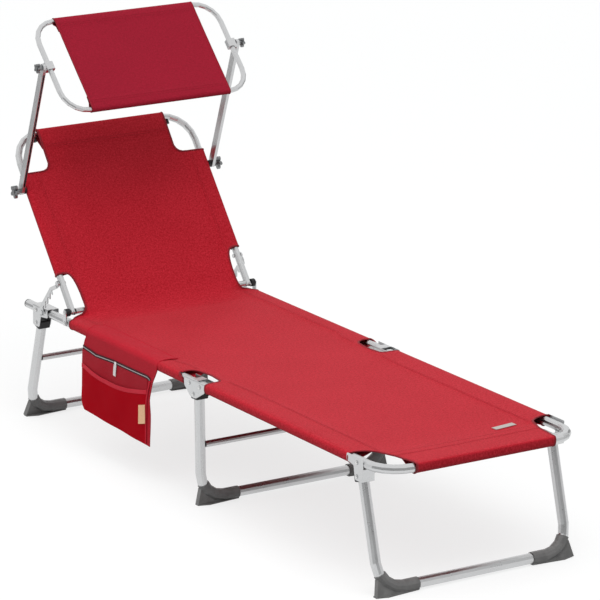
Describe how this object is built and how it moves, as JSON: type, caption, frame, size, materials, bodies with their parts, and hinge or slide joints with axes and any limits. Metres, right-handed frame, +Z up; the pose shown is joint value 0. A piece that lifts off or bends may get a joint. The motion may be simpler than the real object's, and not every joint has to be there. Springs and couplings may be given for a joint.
{
  "type": "sun lounger with canopy",
  "caption": "Folding sling sun lounger on bent tube legs with a reclining ratchet back, a tilting canopy on two arms and a side organiser.",
  "frame": {"origin": "centre of the bounding box at the floor", "axes": "+Y towards the head end, +Z up, the organiser on the -X side"},
  "size_m": [0.604, 1.7212, 1.0246],
  "materials": {
    "tube": "satin",
    "arm_bar": "satin",
    "bracket_steel": "satin",
    "knob": "satin",
    "grey_plastic": "matte",
    "black_plastic": "matte",
    "red_cloth": "woven",
    "organiser_cloth": "woven"
  },
  "bodies": {
    "seat_frame": {"seat_rail_left": "tube", "seat_rail_right": "tube", "rail_end_cap_left": "grey_plastic", "rail_end_cap_right": "grey_plastic", "head_bracket_left": "bracket_steel", "head_bracket_right": "bracket_steel", "recline_plate_left": "bracket_steel", "recline_plate_right": "bracket_steel", "recline_bush_left": "black_plastic", "recline_bush_right": "black_plastic", "seat_cloth": "red_cloth", "organiser": "organiser_cloth"},
    "middle_brackets": {"middle_bracket_left": "bracket_steel", "middle_bracket_right": "bracket_steel"},
    "foot_section": {"foot_frame_tube": "tube", "foot_bracket_left": "bracket_steel", "foot_bracket_right": "bracket_steel", "foot_cloth": "red_cloth"},
    "foot_leg": {"foot_leg_tube": "tube", "foot_leg_plug_left": "black_plastic", "foot_leg_plug_right": "black_plastic", "foot_cap_left": "grey_plastic", "foot_cap_right": "grey_plastic"},
    "middle_leg": {"middle_leg_tube": "tube", "middle_leg_plug_left": "black_plastic", "middle_leg_plug_right": "black_plastic", "middle_cap_left": "grey_plastic", "middle_cap_right": "grey_plastic", "middle_leg_crossbar": "tube"},
    "head_leg": {"head_leg_tube": "tube", "head_leg_plug_left": "black_plastic", "head_leg_plug_right": "black_plastic", "head_cap_left": "grey_plastic", "head_cap_right": "grey_plastic", "head_leg_crossbar": "tube"},
    "backrest": {"back_frame_tube": "tube", "back_cross_tube": "tube", "back_buffer_left": "black_plastic", "back_buffer_right": "black_plastic", "strut_bolt_left": "bracket_steel", "strut_bolt_right": "bracket_steel", "arm_spacer_left": "black_plastic", "arm_spacer_right": "black_plastic", "back_cloth": "red_cloth"},
    "strut_left": {"ratchet_strut_left": "bracket_steel"},
    "strut_right": {"ratchet_strut_right": "bracket_steel"},
    "canopy_arms": {"canopy_arm_left": "arm_bar", "canopy_arm_right": "arm_bar"},
    "canopy": {"canopy_loop_tube": "tube", "loop_clamp_left": "grey_plastic", "loop_clamp_right": "grey_plastic", "canopy_cloth": "red_cloth"},
    "lower_knob_left_body": {"lower_knob_left": "knob"},
    "lower_knob_right_body": {"lower_knob_right": "knob"},
    "upper_knob_left_body": {"upper_knob_left": "knob"},
    "upper_knob_right_body": {"upper_knob_right": "knob"}
  },
  "joints": [
    {"name": "middle_fold", "type": "hinge", "parent": "seat_frame", "child": "middle_brackets", "pos_m": [0, -0.03963, 0.298], "axis": [-1, 0, 0], "range_deg": [0, 75]},
    {"name": "foot_fold", "type": "hinge", "parent": "middle_brackets", "child": "foot_section", "pos_m": [0, -0.08563, 0.298], "axis": [-1, 0, 0], "range_deg": [0, 75]},
    {"name": "foot_leg_fold", "type": "hinge", "parent": "foot_section", "child": "foot_leg", "pos_m": [0, -0.75163, 0.2653], "axis": [1, 0, 0], "range_deg": [0, 100]},
    {"name": "middle_leg_fold", "type": "hinge", "parent": "middle_brackets", "child": "middle_leg", "pos_m": [0, -0.05763, 0.27489], "axis": [1, 0, 0], "range_deg": [0, 75]},
    {"name": "head_leg_fold", "type": "hinge", "parent": "seat_frame", "child": "head_leg", "pos_m": [0, 0.69337, 0.2653], "axis": [-1, 0, 0], "range_deg": [0, 100]},
    {"name": "recline", "type": "hinge", "parent": "seat_frame", "child": "backrest", "pos_m": [0, 0.54837, 0.3245], "axis": [1, 0, 0], "range_deg": [-51.6, 0]},
    {"name": "strut_left_turn", "type": "hinge", "parent": "backrest", "child": "strut_left", "pos_m": [-0.2666, 0.60119, 0.38471], "axis": [1, 0, 0], "range_deg": [0, 101]},
    {"name": "strut_right_turn", "type": "hinge", "parent": "backrest", "child": "strut_right", "pos_m": [0.2666, 0.60119, 0.38471], "axis": [1, 0, 0], "range_deg": [0, 101]},
    {"name": "arm_swing", "type": "hinge", "parent": "backrest", "child": "canopy_arms", "pos_m": [0, 0.75894, 0.59017], "axis": [-1, 0, 0], "range_deg": [-45, 60]},
    {"name": "canopy_tilt", "type": "hinge", "parent": "canopy_arms", "child": "canopy", "pos_m": [0, 0.64261, 0.9261], "axis": [1, 0, 0], "range_deg": [-75, 75]},
    {"name": "lower_knob_left_turn", "type": "hinge", "parent": "canopy_arms", "child": "lower_knob_left_body", "pos_m": [-0.295, 0.75894, 0.59017], "axis": [-1, 0, 0], "continuous": true},
    {"name": "lower_knob_right_turn", "type": "hinge", "parent": "canopy_arms", "child": "lower_knob_right_body", "pos_m": [0.295, 0.75894, 0.59017], "axis": [1, 0, 0], "continuous": true},
    {"name": "upper_knob_left_turn", "type": "hinge", "parent": "canopy_arms", "child": "upper_knob_left_body", "pos_m": [-0.292, 0.64261, 0.9261], "axis": [-1, 0, 0], "continuous": true},
    {"name": "upper_knob_right_turn", "type": "hinge", "parent": "canopy_arms", "child": "upper_knob_right_body", "pos_m": [0.292, 0.64261, 0.9261], "axis": [1, 0, 0], "continuous": true}
  ],
  "couplings": [
    {"joint": "strut_left_turn", "follows": "recline", "ratio": -1.95},
    {"joint": "strut_right_turn", "follows": "recline", "ratio": -1.95}
  ]
}
